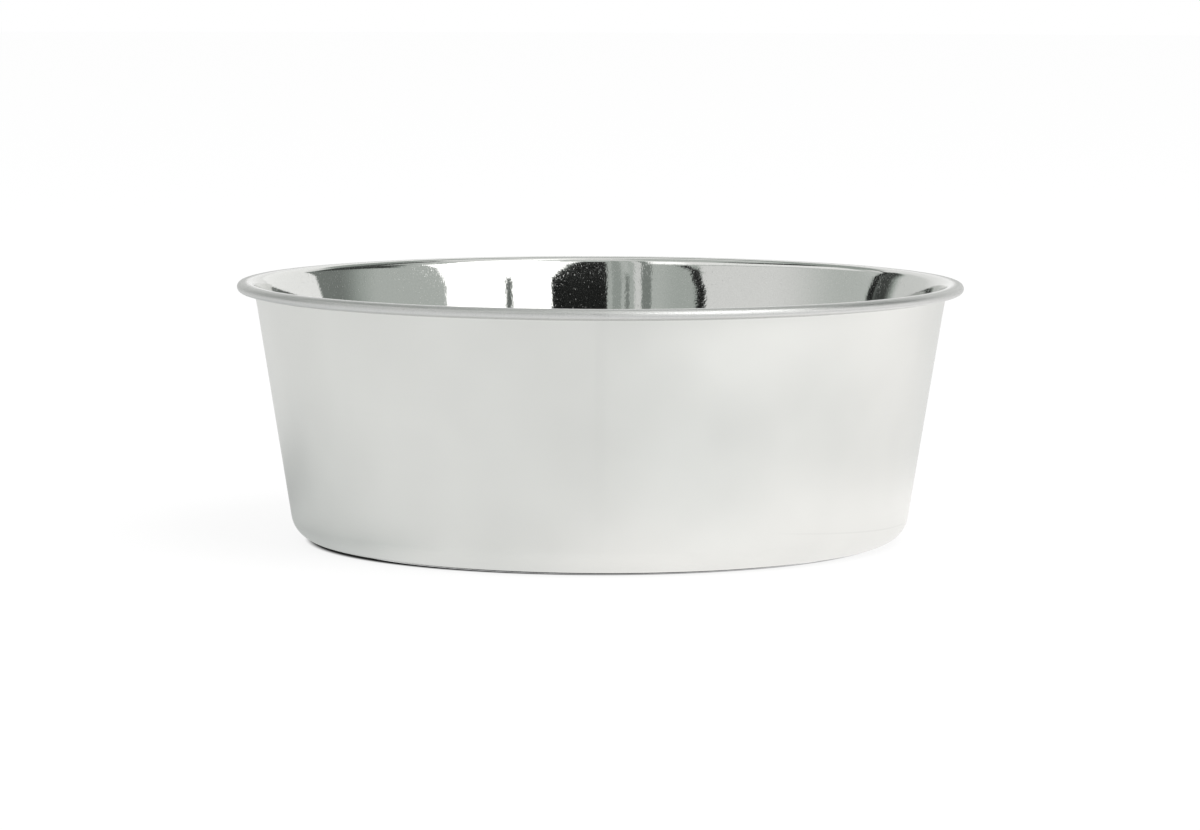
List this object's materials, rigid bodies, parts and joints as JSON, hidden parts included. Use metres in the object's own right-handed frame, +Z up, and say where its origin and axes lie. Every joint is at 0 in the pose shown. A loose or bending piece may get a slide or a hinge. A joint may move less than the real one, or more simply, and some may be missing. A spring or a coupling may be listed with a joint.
{
  "type": "dog bowl",
  "caption": "Round stainless steel feeding bowl: straight flared wall, rim rolled under, and a black rubber non-skid ring in a channel under the base.",
  "frame": {"origin": "centre of the surface that the bowl stands on, under the bowl's axis", "axes": "+Z up along the bowl's axis; the bowl is round about Z, and the picture looks along +Y with +X to the right"},
  "size_m": [0.216, 0.216, 0.0772],
  "materials": {
    "steel": "satin outside with fine grain round the axis, mirror polished inside and on the rim",
    "adhesive": "cured film, hidden between ring and sheet",
    "rubber": "matte moulded black rubber"
  },
  "bodies": {
    "root": {"bowl_shell": "steel", "bond_layer": "adhesive", "base_ring": "rubber"}
  },
  "joints": []
}
